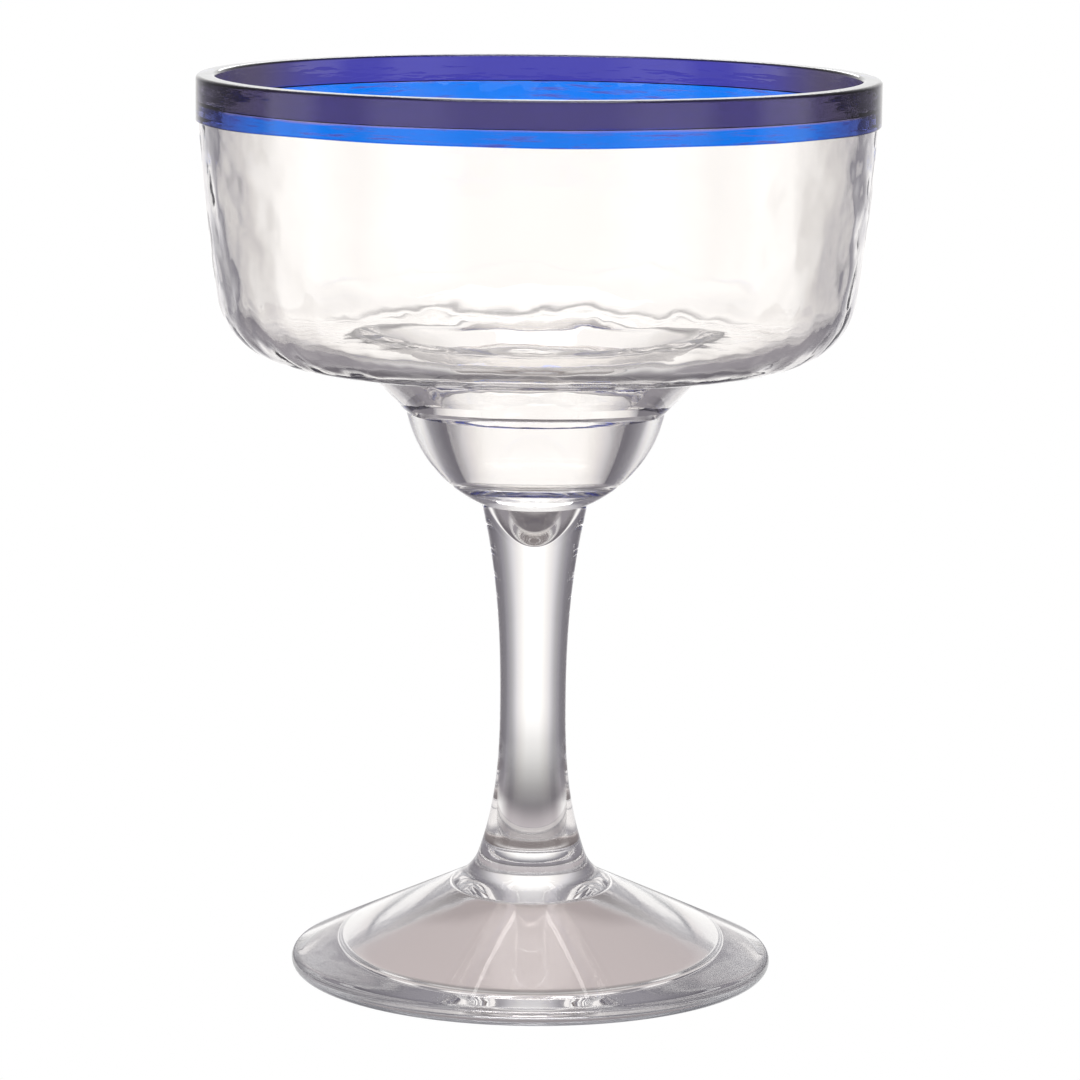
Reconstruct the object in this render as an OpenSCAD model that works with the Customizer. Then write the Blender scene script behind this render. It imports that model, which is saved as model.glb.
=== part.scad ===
// Margarita glass of clear moulded acrylic with a cobalt-blue lip.
// Every piece is turned about the Z axis, and the table is the plane z = 0.

/* [Rim band] */
// Outer diameter of the blue lip, the widest part of the glass
rim_d = 118; // [108:1:130]
// Height of the thick lip above the top of the clear wall
lip_h = 4.8; // [3:0.1:7]
// Radius on the lip's inner and outer edges
lip_round = 0.7; // [0.4:0.1:1.6]
// Height of the thin skirt that laps down over the clear wall
lap_h = 2.7; // [1.5:0.1:6]
// Thickness of the skirt
lap_t = 1.1; // [0.9:0.1:1.8]
// How far the band stands out from the clear wall
band_proud = 0.5; // [0.2:0.05:0.8]
// Radius on the skirt's lower edge
lap_round = 0.3; // [0.1:0.05:0.45]

/* [Bowl] */
// Thickness of the bowl's wall
wall_t = 3.4; // [2.8:0.1:4.2]
// Thickness of the bowl's floor
floor_t = 3.4; // [2.8:0.1:4.2]
// Height of the clear wall, from the bowl's underside to the skirt's lower edge
wall_h = 41.25; // [34:0.25:60]
// Angle that the wall leans out from upright at the band, in degrees
wall_lean = 3.6; // [2:0.1:6]
// Radius of the wall's slight outward bow, seen from the side
wall_bow_r = 370; // [280:5:700]
// Outer radius of the corner between the wall and the underside
corner_r = 12.5; // [9:0.5:16]

/* [Collar] */
// Diameter of the bore under the funnel, which takes the well's plug
throat_d = 39.2; // [37:0.2:41]
// Depth of the bore, from the collar's lower edge up to the funnel
throat_h = 4.9; // [4:0.1:6]
// Width of the collar's lower edge, round the bore
collar_land = 2.9; // [2.2:0.1:4]
// Height of the collar, from its lower edge to the bowl's underside
collar_h = 9.3; // [7:0.1:12]
// Lean of the collar and of the funnel inside it, from upright, in degrees
collar_lean = 45; // [36:1:50]
// Radius of the fillet between the collar and the bowl's underside
collar_fillet = 3; // [1:0.5:5]
// Radius that rounds the edge between the bowl's floor and the funnel
funnel_round = 5; // [2:0.5:8]

/* [Well] */
// How far the ball that gives the well its outer shape swells past the collar's edge
ball_swell = 0.5; // [0.4:0.1:4]
// Height of the plug, the part of the well that stands up into the bore
plug_h = 3; // [2:0.1:3.8]
// Width of the plug's upper edge
plug_land = 2.9; // [2:0.1:4]
// Radius on the plug's inner edge
plug_round = 0.3; // [0.1:0.1:1]
// Lean of the well's inner wall at the plug, from upright, in degrees
cup_lean = 8; // [6:1:12]
// Radius of the inner wall's outward bow, seen from the side
cup_bow_r = 33; // [28:1:60]
// Thickness of the solid under the well's floor
cup_floor_t = 5.7; // [4:0.1:7]
// Radius of the corner round the well's floor
cup_corner_r = 2.5; // [1:0.5:5]

/* [Stem] */
// Length of the stem between the foot's hub and the well
stem_h = 62; // [45:1:80]
// Diameter of the stem's waist
waist_d = 11.6; // [9:0.2:14]
// Height of the waist above the foot's hub
waist_h = 26.3; // [18:0.5:36]
// Diameter of the stem's top, where it is bonded to the well
weld_d = 18.5; // [16:0.25:21]
// Power of the curve by which the stem widens above its waist
flare_up_power = 2.4; // [2:0.1:3]
// Power of the curve by which the stem widens below its waist
flare_down_power = 2.6; // [2:0.1:3]
// Width of the bonded ring round the closed air pocket in the stem's top
weld_land = 3.65; // [2.5:0.05:4.5]
// Depth of the air pocket, which is hollowed out as a paraboloid
pocket_h = 6.8; // [5:0.1:9]
// Diameter of the tenon that enters the foot's hub
tenon_d = 12; // [9:0.5:14]
// Length of the tenon
tenon_h = 3.6; // [2:0.1:4.5]
// Clearance round the tenon and round the plug, which the bond fills
bond_gap = 0.02; // [0.01:0.01:0.06]

/* [Foot] */
// Diameter of the foot
foot_d = 84.4; // [76:0.2:96]
// Radius of the foot's round outer edge
foot_edge_r = 1.8; // [1.4:0.1:2.6]
// Slope of the foot's top, from level, in degrees
foot_slope = 25; // [20:0.5:30]
// Diameter of the hub, where the stem stands
hub_d = 18.6; // [16:0.2:21]
// Radius of the sweep from the hub to the foot's sloping top
hub_sweep_r = 7.5; // [5:0.5:10]
// Thickness of the sloping web where it meets the hub; it thickens outwards
web_t = 3; // [2.2:0.1:3.6]
// Thickness of the hub over the hollow's flat ceiling
hub_t = 7.6; // [6:0.1:9]
// Height of the hollow's upright wall, under the web
hollow_h = 1.2; // [1:0.1:3]
// Width of the ring that the glass stands on, round the foot's hollow
ring_w = 10.7; // [8:0.1:13]
// Radius on the edge of the hollow's mouth
mouth_round = 0.4; // [0.2:0.1:0.6]
// Radius of the fillet between the hollow's wall and the web
hollow_fillet = 0.8; // [0.5:0.1:1.2]
// Radius of the fillet between the web and the hollow's ceiling
ceiling_fillet = 1.6; // [0.8:0.2:5]

/* [Hidden] */
$fn = 144;
// Steps in each rounded corner, and in the pocket and each half of the stem's curve
corner_steps = 10;
flare_steps = 16;

rim_r = rim_d / 2;
wall_r = rim_r - band_proud;
lap_inner_r = rim_r - lap_t;
throat_r = throat_d / 2;
plug_r = throat_r - bond_gap;
collar_r = throat_r + collar_land;
ball_r = collar_r + ball_swell;
weld_r = weld_d / 2;
pocket_r = weld_r - weld_land;
waist_r = waist_d / 2;
tenon_r = tenon_d / 2;
hub_r = hub_d / 2;
foot_r = foot_d / 2;
hollow_r = foot_r - ring_w;

// The foot's round edge, the line of its sloping top, and the sweep up to the hub,
// which starts along the stem's own curve
edge_centre = [foot_r - foot_edge_r, foot_edge_r];
slope_start = edge_centre + foot_edge_r * [sin(foot_slope), cos(foot_slope)];
hub_lean = atan((hub_r - waist_r) * flare_down_power / waist_h);
sweep_end_r = hub_r + hub_sweep_r * (cos(hub_lean) - sin(foot_slope));
sweep_drop = hub_sweep_r * (cos(foot_slope) - sin(hub_lean));
web_drop = web_t / cos(foot_slope);
function slope_z(r) = slope_start[1] + (slope_start[0] - r) * tan(foot_slope);
function slope_r(z) = slope_start[0] - (z - slope_start[1]) / tan(foot_slope);

// Heights, each counted up from the piece below
hub_z = slope_z(sweep_end_r) + sweep_drop;
tenon_z = hub_z - tenon_h;
waist_z = hub_z + waist_h;
weld_z = hub_z + stem_h;
ball_z = weld_z + sqrt(ball_r ^ 2 - weld_r ^ 2);
collar_z = ball_z - sqrt(ball_r ^ 2 - collar_r ^ 2);
throat_z = collar_z + throat_h;
plug_z = collar_z + plug_h;
cup_floor_z = weld_z + cup_floor_t;
underside_z = collar_z + collar_h;
floor_z = underside_z + floor_t;
band_z = underside_z + wall_h;
lap_z = band_z + lap_h;
lip_z = lap_z + lip_h;

// The centres of the bows: one for both faces of the bowl's wall, one for the well's inner wall
wall_bow = [wall_r - wall_bow_r * cos(wall_lean), band_z + wall_bow_r * sin(wall_lean)];
inner_bow_r = wall_bow_r - wall_t;
inner_corner_r = corner_r - wall_t;
cup_bow = [
    throat_r - plug_land - cup_bow_r * cos(cup_lean),
    plug_z + cup_bow_r * sin(cup_lean)
];

// Lean and radius, at a height, of a wall that is bowed round a centre
function bow_lean(bow, bow_r, z) = asin((bow[1] - z) / bow_r);
function bow_at(bow, bow_r, z) = bow[0] + bow_r * cos(bow_lean(bow, bow_r, z));

// Points along an arc, from one angle to another
function arc(centre, radius, from, to) = [
    for (i = [0:corner_steps])
        let (angle = from + (to - from) * i / corner_steps)
            centre + radius * [cos(angle), sin(angle)]
];
function past_first(points) = [for (i = [1:len(points) - 1]) points[i]];
function up_to_last(points) = [for (i = [0:len(points) - 2]) points[i]];
function backwards(points) = [for (i = [len(points) - 1:-1:0]) points[i]];

// Points that round the corner b between the lines to a and to c
function unit(v) = v / norm(v);
function rounded(a, b, c, radius) =
    let (
        u = unit(a - b),
        v = unit(c - b),
        half = acos(u * v) / 2,
        centre = b + unit(u + v) * radius / sin(half),
        p = b + u * radius / tan(half) - centre,
        q = b + v * radius / tan(half) - centre,
        from = atan2(p[1], p[0]),
        turn = atan2(q[1], q[0]) - from,
        sweep = turn > 180 ? turn - 360 : turn < -180 ? turn + 360 : turn
    )
    arc(centre, radius, from, from + sweep);

// A face that runs from a level, round a corner that touches both, and up a bowed wall
function bowed_face(bow, bow_r, radius, level, top) =
    let (
        lean = bow_lean(bow, bow_r - radius, level + radius),
        centre = [bow_at(bow, bow_r - radius, level + radius), level + radius]
    )
    concat(
        arc(centre, radius, -90, -lean),
        past_first(arc(bow, bow_r, -lean, -bow_lean(bow, bow_r, top)))
    );

module rim_band() {
    lip_in = [bow_at(wall_bow, inner_bow_r, lip_z), lip_z];
    lip_out = [rim_r, lip_z];
    seat_in = [bow_at(wall_bow, inner_bow_r, lap_z), lap_z];
    skirt_in = [lap_inner_r, band_z];
    skirt_out = [rim_r, band_z];
    color([0.03, 0.2, 0.82])
        rotate_extrude()
            polygon(concat(
                [seat_in, [lap_inner_r, lap_z], skirt_in],
                rounded(skirt_in, skirt_out, lip_out, lap_round),
                rounded(skirt_out, lip_out, lip_in, lip_round),
                rounded(lip_out, lip_in, seat_in, lip_round)
            ));
}

module bowl() {
    collar_edge = [collar_r, collar_z];
    collar_top = [collar_r + collar_h * tan(collar_lean), underside_z];
    throat = [throat_r, throat_z];
    funnel_top = [throat_r + (floor_z - throat_z) * tan(collar_lean), floor_z];
    outer = bowed_face(wall_bow, wall_bow_r, corner_r, underside_z, band_z);
    inner = bowed_face(wall_bow, inner_bow_r, inner_corner_r, floor_z, lap_z);
    color([0.93, 0.93, 0.96, 0.5])
        rotate_extrude()
            polygon(concat(
                [collar_edge],
                rounded(collar_edge, collar_top, outer[0], collar_fillet),
                outer,
                [[lap_inner_r, band_z], [lap_inner_r, lap_z]],
                backwards(inner),
                rounded(inner[0], funnel_top, throat, funnel_round),
                [throat, [throat_r, collar_z]]
            ));
}

module well() {
    plug_top = [plug_r, plug_z];
    cup = up_to_last(bowed_face(cup_bow, cup_bow_r, cup_corner_r, cup_floor_z, plug_z));
    cup_top = [throat_r - plug_land, plug_z];
    color([0.9, 0.93, 0.96, 0.5])
        rotate_extrude()
            polygon(concat(
                [[0, weld_z]],
                arc(
                    [0, ball_z], ball_r,
                    -acos(weld_r / ball_r), -acos(collar_r / ball_r)
                ),
                [[plug_r, collar_z], plug_top],
                rounded(plug_top, cup_top, cup[len(cup) - 1], plug_round),
                backwards(cup),
                [[0, cup_floor_z]]
            ));
}

// The stem's outline, from the hub up to the weld
function stem_side() = concat(
    [
        for (i = [0:flare_steps])
            let (s = i / flare_steps)
                [waist_r + (hub_r - waist_r) * (1 - s) ^ flare_down_power, hub_z + waist_h * s]
    ],
    [
        for (i = [1:flare_steps])
            let (s = i / flare_steps)
                [
                    waist_r + (weld_r - waist_r) * s ^ flare_up_power,
                    waist_z + (stem_h - waist_h) * s
                ]
    ]
);

// The air pocket's outline, from its rim down to its tip
function pocket_side() = [
    for (i = [0:flare_steps])
        let (s = 1 - i / flare_steps)
            [pocket_r * s, weld_z - pocket_h * (1 - s ^ 2)]
];

module stem() {
    color([0.93, 0.91, 0.95, 0.5])
        rotate_extrude()
            polygon(concat(
                [[0, tenon_z], [tenon_r, tenon_z], [tenon_r, hub_z]],
                stem_side(),
                pocket_side()
            ));
}

module foot() {
    socket_r = tenon_r + bond_gap;
    sweep_centre = [hub_r, hub_z] + hub_sweep_r * [cos(hub_lean), sin(hub_lean)];
    mouth = [hollow_r, 0];
    web_foot = [hollow_r, hollow_h];
    ceiling_z = hub_z - hub_t;
    ceiling_edge = [slope_r(ceiling_z + web_drop), ceiling_z];
    color([0.9, 0.9, 0.93, 0.5])
        rotate_extrude()
            polygon(concat(
                [[0, tenon_z], [socket_r, tenon_z], [socket_r, hub_z]],
                arc(sweep_centre, hub_sweep_r, 180 + hub_lean, 270 - foot_slope),
                arc(edge_centre, foot_edge_r, 90 - foot_slope, -90),
                rounded([edge_centre[0], 0], mouth, web_foot, mouth_round),
                rounded(mouth, web_foot, ceiling_edge, hollow_fillet),
                rounded(web_foot, ceiling_edge, [0, ceiling_z], ceiling_fillet),
                [[0, ceiling_z]]
            ));
}

foot();
stem();
well();
bowl();
rim_band();
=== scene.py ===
"""Margarita glass of clear moulded acrylic with a cobalt-blue lip, dressed for the studio.

The glass stands on z = 0 and every piece of it is turned about the Z axis. Lengths are in metres.
"""

import math

import bpy
import numpy as np
from bpy.props import FloatProperty, FloatVectorProperty, IntProperty, PointerProperty
from mathutils import Matrix, Vector


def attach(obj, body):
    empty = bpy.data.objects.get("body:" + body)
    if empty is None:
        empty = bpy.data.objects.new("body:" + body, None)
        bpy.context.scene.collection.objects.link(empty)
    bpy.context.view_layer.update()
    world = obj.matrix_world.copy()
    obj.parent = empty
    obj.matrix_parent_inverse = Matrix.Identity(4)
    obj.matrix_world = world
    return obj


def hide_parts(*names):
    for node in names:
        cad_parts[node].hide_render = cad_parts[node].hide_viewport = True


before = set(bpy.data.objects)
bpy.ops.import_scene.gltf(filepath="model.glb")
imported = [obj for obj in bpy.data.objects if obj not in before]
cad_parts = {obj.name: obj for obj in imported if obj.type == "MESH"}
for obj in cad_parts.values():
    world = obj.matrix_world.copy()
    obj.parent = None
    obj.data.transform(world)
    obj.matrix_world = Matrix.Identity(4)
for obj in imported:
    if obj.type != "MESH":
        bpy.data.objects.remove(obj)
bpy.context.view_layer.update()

bl_info = {
    "name": "Margarita glass",
    "version": (1, 0, 0),
    "blender": (4, 5, 0),
    "location": "3D View > Sidebar > Glass",
    "description": "Turns a moulded acrylic margarita glass and sets it in a bright studio",
    "category": "Object",
}

MM = 0.001
ROOT = "root"
SAME_POINT = 1e-7
SLACK = 1e-6
SHARP_FROM = math.radians(24)
LONGEST_PATH = 32
SENSOR_MM = 36
NEAREST_SEEN, FURTHEST_SEEN = 0.01, 50
SEAT_GAP = 0.02 * MM
TABLE_GAP, TABLE_T, TABLE_SIDES = 0.2 * MM, 4 * MM, 96
# The material slots of a piece: SATIN and RIM are the foot's, SEAT is the band's
OUTSIDE, BOND, SATIN, SEAT, RIM = 0, 1, 2, 2, 3


def length(label, about, default_mm):
    """A length in metres that the sidebar shows with its unit; the default is given in mm."""
    return FloatProperty(
        name=label,
        description=about,
        default=default_mm * MM,
        min=0.0,
        subtype="DISTANCE",
        unit="LENGTH",
        precision=5,
    )


def number(label, about, default, subtype="NONE"):
    """A plain number in the sidebar."""
    return FloatProperty(name=label, description=about, default=default, subtype=subtype)


def angle(label, about, default_degrees):
    """An angle in radians that the sidebar shows in degrees."""
    return FloatProperty(
        name=label,
        description=about,
        default=math.radians(default_degrees),
        subtype="ANGLE",
        unit="ROTATION",
    )


def colour(label, about, default_hex):
    """A colour kept as linear light; the default is an sRGB hex value."""
    return FloatVectorProperty(
        name=label,
        description=about,
        default=linear(default_hex)[:3],
        size=3,
        min=0.0,
        max=1.0,
        subtype="COLOR",
    )


def linear(code):
    """An sRGB hex colour as linear red, green and blue, with an alpha of 1."""
    parts = [int(code[i : i + 2], 16) / 255 for i in (1, 3, 5)]
    return tuple(
        p / 12.92 if p <= 0.04045 else ((p + 0.055) / 1.055) ** 2.4 for p in parts
    ) + (1.0,)


class BandSizes(bpy.types.PropertyGroup):
    rim_d: length("Lip diameter", "Outer diameter of the blue lip", 118)
    lip_h: length("Lip height", "Height of the thick lip above the clear wall", 4.8)
    lip_round: length("Lip rounding", "Radius on the lip's two upper edges", 0.7)
    lap_h: length("Skirt height", "Height of the thin skirt over the clear wall", 2.7)
    lap_t: length("Skirt thickness", "Thickness of the skirt", 1.1)
    band_proud: length("Step", "How far the band stands out from the clear wall", 0.5)
    lap_round: length("Skirt rounding", "Radius on the skirt's lower edge", 0.3)
    flow: length("Flow", "How far the skirt's lower edge wanders up and down", 0.2)
    sag: length("Sag", "How much lower the skirt hangs at the back", 1.0)
    sway: length("Sway", "How far the outer face undulates", 0.03)


class BowlSizes(bpy.types.PropertyGroup):
    wall_t: length("Wall thickness", "Thickness of the bowl's wall", 3.4)
    floor_t: length("Floor thickness", "Thickness of the bowl's floor", 3.4)
    wall_h: length("Wall height", "From the bowl's underside up to the skirt", 41.25)
    wall_lean: angle("Wall lean", "Lean of the wall, out from upright, at the band", 3.6)
    wall_bow_r: length("Wall bow", "Radius of the wall's slight outward bow", 370)
    corner_r: length("Corner", "Outer radius between the wall and the underside", 12.5)
    throat_d: length("Throat", "Diameter of the bore that takes the well's plug", 39.2)
    throat_h: length("Bore depth", "Depth of the bore, up to the funnel", 4.9)
    collar_land: length("Collar land", "Width of the collar's lower edge", 2.9)
    collar_h: length("Collar height", "Height of the collar under the bowl", 9.3)
    collar_lean: angle("Collar lean", "Lean of the collar and of the funnel", 45)
    collar_fillet: length("Collar fillet", "Radius between collar and underside", 3)
    funnel_round: length("Funnel rounding", "Radius between floor and funnel", 5)
    dent_step: length("Hammer step", "Distance from one hammer dent to the next", 6.5)
    dent_r: length("Hammer radius", "Radius of the hammer's face", 88)
    seam_h: length("Parting line", "Height of the mould's parting line", 0.05)
    seam_w: length("Parting line width", "Half-width of the parting line", 0.16)


class WellSizes(bpy.types.PropertyGroup):
    ball_swell: length("Ball swell", "How far the ball swells past the collar", 0.5)
    plug_h: length("Plug height", "How far the well stands up into the bore", 3.0)
    plug_land: length("Plug land", "Width of the plug's upper edge", 2.9)
    cup_lean: angle("Cup lean", "Lean of the well's inner wall at the plug", 8)
    cup_bow_r: length("Cup bow", "Radius of the inner wall's bow", 33)
    plug_round: length("Plug rounding", "Radius on the plug's inner edge", 0.3)
    cup_floor_t: length("Cup floor", "Thickness of the solid under the floor", 5.7)
    cup_corner_r: length("Cup corner", "Radius round the well's floor", 2.5)
    ball_seam_h: length("Parting line", "Height of the parting line on the ball", 0.04)
    ball_seam_w: length("Parting line width", "Half-width of the same line", 0.14)


class StemSizes(bpy.types.PropertyGroup):
    stem_h: length("Stem length", "Length of the stem between hub and well", 62)
    waist_d: length("Waist", "Diameter of the stem's waist", 11.6)
    waist_h: length("Waist height", "Height of the waist above the hub", 26.3)
    weld_d: length("Weld", "Diameter of the stem's top", 18.5)
    flare_up: number("Upper flare", "Power of the curve above the waist", 2.4)
    flare_down: number("Lower flare", "Power of the curve below the waist", 2.6)
    weld_land: length("Weld land", "Width of the bonded ring round the pocket", 3.65)
    pocket_h: length("Pocket depth", "Depth of the closed air pocket", 6.8)
    tenon_d: length("Tenon", "Diameter of the tenon in the foot's hub", 12)
    tenon_h: length("Tenon length", "Length of the tenon", 3.6)


class FootSizes(bpy.types.PropertyGroup):
    foot_d: length("Foot diameter", "Diameter of the foot", 84.4)
    foot_edge_r: length("Foot edge", "Radius of the foot's round edge", 1.8)
    foot_slope: angle("Foot slope", "Slope of the foot's top", 25)
    hub_d: length("Hub", "Diameter of the hub, where the stem stands", 18.6)
    hub_sweep_r: length("Hub sweep", "Radius from the hub to the sloping top", 7.5)
    web_t: length("Web", "Thickness of the web over the hollow", 3)
    hub_t: length("Hub thickness", "Thickness of the hub over the hollow", 7.6)
    hollow_h: length("Hollow wall", "Height of the hollow's upright wall", 1.2)
    ring_w: length("Ring width", "Width of the ring that the glass stands on", 10.7)
    mouth_round: length("Mouth rounding", "Radius on the hollow's mouth", 0.4)
    hollow_fillet: length("Hollow fillet", "Radius at the foot of the web", 0.8)
    ceiling_fillet: length("Ceiling fillet", "Radius round the hub's underside", 1.6)


class GlassLooks(bpy.types.PropertyGroup):
    clear: colour("Clear acrylic", "Tint of the clear pieces", "#FDFBF9")
    clear_drift: colour("Clear acrylic, drift", "Tint that it drifts to", "#F9F7F5")
    # The foot's rim colour is painted shade: clear_acrylic darkens the rim with it towards the
    # table.
    edge: colour("Foot edge", "Tint of the foot's rim", "#84868E")
    skirt: colour("Skirt blue", "The blue of the thin skirt", "#0034DC")
    streak: colour("Streak blue", "Flow streaks in the skirt", "#101078")
    skirt_end: colour("Skirt, sides", "The skirt where it is thickest", "#26243C")
    # The two lip blues differ by painted light: the back is tinted lighter, where the light comes
    # in.
    lip_front: colour("Lip blue, front", "The lip where it is thickest", "#453F78")
    lip_end: colour("Lip blue, sides", "The lip where it is seen end on", "#565068")
    lip_back: colour("Lip blue, back", "The lip where it is thinnest", "#4240A4")
    seat: colour("Lip blue, upward", "What light loses on its way up through the lip", "#202026")
    ior: number("Index", "Refractive index of moulded acrylic", 1.49)
    around: IntProperty(
        name="Faces round", description="Faces round each turned piece", default=288, min=48
    )


class StudioValues(bpy.types.PropertyGroup):
    reach: length("Camera distance", "From the glass's axis to the camera", 815)
    height: length("Camera height", "Height of the camera above the table", 213)
    pitch: angle("Camera pitch", "How far the camera looks down", 9.52)
    roll: angle("Camera roll", "Roll of the camera, anticlockwise", 0.57)
    lens: number("Lens", "Focal length", 157.9, "DISTANCE_CAMERA")
    shift: number("Shift", "Sideways shift of the frame", 5.5 / 1080)
    table_r: length("Table radius", "Radius of the light table", 600)
    # Painted shade in the table's lights: the hollow's tint and Shade behind are the foot's
    # painted shadow, Light behind and its share the glass's painted shadow, and the steep ones
    # painted shade for steep rays.
    hollow_painted_shadow: colour("Table light", "Light of the table inside the foot's hollow", "#CAC0C0")
    table_ring: colour("Ring light", "Light of the table under the foot's ring", "#FFFFFF")
    table_behind: colour("Light behind", "Light of the table straight behind the foot", "#C0BABE")
    table_shade: colour("Shade behind", "The hollow's light, straight behind", "#B2A8A8")
    table_steep: number("Table from above", "Share of the foot's light left for steep rays", 0.4)
    behind_level: number("Light behind, low rays", "The same as a share, past the ring", 0.5)
    table_down: colour("Table, steep", "Light of the table round the foot, from above", "#98949A")
    table_down_behind: colour("Steep, behind", "The same, straight behind the foot", "#6C686E")
    table_above: colour("Table, straight down", "Light of the table from right above", "#E2E0E1")
    screen_level: number("Screen light", "Brightness of the screens", 1.2)
    ceiling: colour("Ceiling light", "Light above the screens", "#86848C")
    screen_full: angle("Screen height", "How high the screens are fully bright", 30)
    screen_end: angle("Screen end", "How high the screens have faded", 65)
    softbox: length("Softbox", "Side of the softbox over the glass", 500)
    softbox_z: length("Softbox height", "Height of the softbox over the table", 900)
    softbox_power: number("Softbox power", "Power of the softbox", 3.0, "POWER")
    strip_w: length("Strip width", "Width of the strip light behind the glass", 420)
    strip_h: length("Strip height", "Height of the strip light", 220)
    strip_y: length("Strip distance", "From the glass back to the strip light", 1500)
    strip_z: length("Strip level", "Height of the strip's middle over the table", 560)
    strip_power: number("Strip power", "Power of the strip light", 1.2, "POWER")


def sizes(group):
    """The property group of that name, as the scene holds it."""
    return getattr(bpy.context.scene, group)


# Profiles: rows of (radius, height) in metres


def arc(centre, radius, start, end, steps=12):
    """Points centre + radius (cos a, sin a), with a running evenly from start to end."""
    a = np.linspace(start, end, steps + 1)
    return np.asarray(centre) + radius * np.column_stack([np.cos(a), np.sin(a)])


def line(a, b, steps=1):
    """Points from a to b at equal steps, a + (b - a) t with t from 0 to 1."""
    t = np.linspace(0, 1, steps + 1)[:, None]
    return np.asarray(a) + (np.asarray(b) - np.asarray(a)) * t


def rounded(a, b, c, radius, steps=10):
    """The corner a-b-c rounded: an arc that touches b-a and b-c. Its centre lies on the line
    that halves the corner, radius / sin(half the angle) from b."""
    a, b, c = (np.asarray(p, dtype=float) for p in (a, b, c))
    u = (a - b) / np.linalg.norm(a - b)
    v = (c - b) / np.linalg.norm(c - b)
    half = math.acos(np.clip(u @ v, -1, 1)) / 2
    middle = (u + v) / np.linalg.norm(u + v)
    centre = b + middle * radius / math.sin(half)
    p = b + u * radius / math.tan(half) - centre
    q = b + v * radius / math.tan(half) - centre
    start = math.atan2(p[1], p[0])
    turn = (math.atan2(q[1], q[0]) - start + math.pi) % (2 * math.pi) - math.pi
    return arc(centre, radius, start, start + turn, steps)


class Outline:
    """A closed outline in the (radius, height) plane, laid down stretch by stretch. Each stretch
    has a material slot, which the faces from its first point onwards take."""

    def __init__(self):
        self.points = []
        self.slots = []

    def add(self, points, slot=OUTSIDE):
        points = np.atleast_2d(np.asarray(points, dtype=float))
        self.points.append(points)
        self.slots.append(np.full(len(points), slot))
        return self

    def rows(self):
        """All points and slots, without points that lie on the one before."""
        points = np.vstack(self.points)
        slots = np.concatenate(self.slots)
        apart = np.linalg.norm(points - np.roll(points, 1, axis=0), axis=1) > SAME_POINT
        return points[apart], slots[apart]


def turned(name, outline, angles, shape=None):
    """A solid of revolution: point i of the outline at angle a stands at
    (r cos a, r sin a, z). The outline runs anticlockwise, so the faces look outwards. A point on
    the axis becomes one pole. shape(r, z, a) may move the grid's points before they are set."""
    points, slots = outline.rows()
    r, z = points[:, 0], points[:, 1]
    if np.sum(r * np.roll(z, -1) - np.roll(r, -1) * z) < 0:
        raise ValueError(f"the outline of {name} runs clockwise")
    n, m = len(r), len(angles)
    radii, at = np.meshgrid(r, angles, indexing="ij")
    heights = np.meshgrid(z, angles, indexing="ij")[0]
    if shape is not None:
        radii, heights = shape(radii, heights, at)
    grid = np.stack([radii * np.cos(at), radii * np.sin(at), heights], axis=-1)
    pole = r < SAME_POINT
    index = np.arange(n * m).reshape(n, m)
    index[pole] = index[pole][:, :1]
    following = np.roll(np.arange(n), -1)
    quad = np.stack(
        [
            index,
            np.roll(index, -1, axis=1),
            np.roll(index[following], -1, axis=1),
            index[following],
        ],
        axis=-1,
    )
    # A row of faces that meets the axis at one of its ends is made of triangles
    plain = ~pole & ~pole[following]
    lower = pole & ~pole[following]
    upper = ~pole & pole[following]
    quads = quad[plain].reshape(-1, 4)
    triangles = np.concatenate([quad[lower][:, :, [0, 2, 3]], quad[upper][:, :, [0, 1, 3]]])
    used = np.zeros(n * m, dtype=bool)
    used[index] = True
    renumber = np.cumsum(used) - 1
    faces = renumber[quads].tolist() + renumber[triangles.reshape(-1, 3)].tolist()
    mesh = bpy.data.meshes.new(name)
    mesh.from_pydata(grid.reshape(-1, 3)[used].tolist(), [], faces)
    rows = np.concatenate([np.flatnonzero(kind) for kind in (plain, lower, upper)])
    mesh.polygons.foreach_set("material_index", np.repeat(slots[rows], m).astype(np.int32))
    mesh.polygons.foreach_set("use_smooth", np.ones(len(mesh.polygons), dtype=bool))
    mesh.update()
    mesh.set_sharp_from_angle(angle=SHARP_FROM)
    piece = bpy.data.objects.new(name, mesh)
    bpy.context.scene.collection.objects.link(piece)
    return piece


def turns(count):
    """Angles round the axis: count even steps, and a few close ones on each side of the two
    parting lines, at the front and at the back."""
    least_gap = 0.004
    even = np.linspace(0, 2 * math.pi, count, endpoint=False) + math.pi / count
    close = np.array([-0.012, -0.008, -0.005, -0.0025, 0, 0.0025, 0.005, 0.008, 0.012])
    lines = np.concatenate([1.5 * math.pi + close, 0.5 * math.pi + close])
    gap = np.abs(even[:, None] - lines[None, :]).min(axis=1)
    return np.sort(np.concatenate([even[gap > least_gap], lines]))


def bow_lean(bow, bow_r, z):
    """Lean, from upright, of a wall bowed round the point bow, at a height."""
    return math.asin((bow[1] - z) / bow_r)


def bowed_face(bow, bow_r, corner_r, level, top, steps):
    """One face of a bowl: from its level part round the corner and up the bowed wall. The
    corner's centre lies corner_r over the level part and corner_r inside the wall's arc."""
    lean = bow_lean(bow, bow_r - corner_r, level + corner_r)
    centre = [bow[0] + (bow_r - corner_r) * math.cos(lean), level + corner_r]
    return np.vstack(
        [
            arc(centre, corner_r, -math.pi / 2, -lean, steps=22),
            arc(bow, bow_r, -lean, -bow_lean(bow, bow_r, top), steps)[1:],
        ]
    )


# The shape of the whole glass, from the sizes in the sidebar


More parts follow.
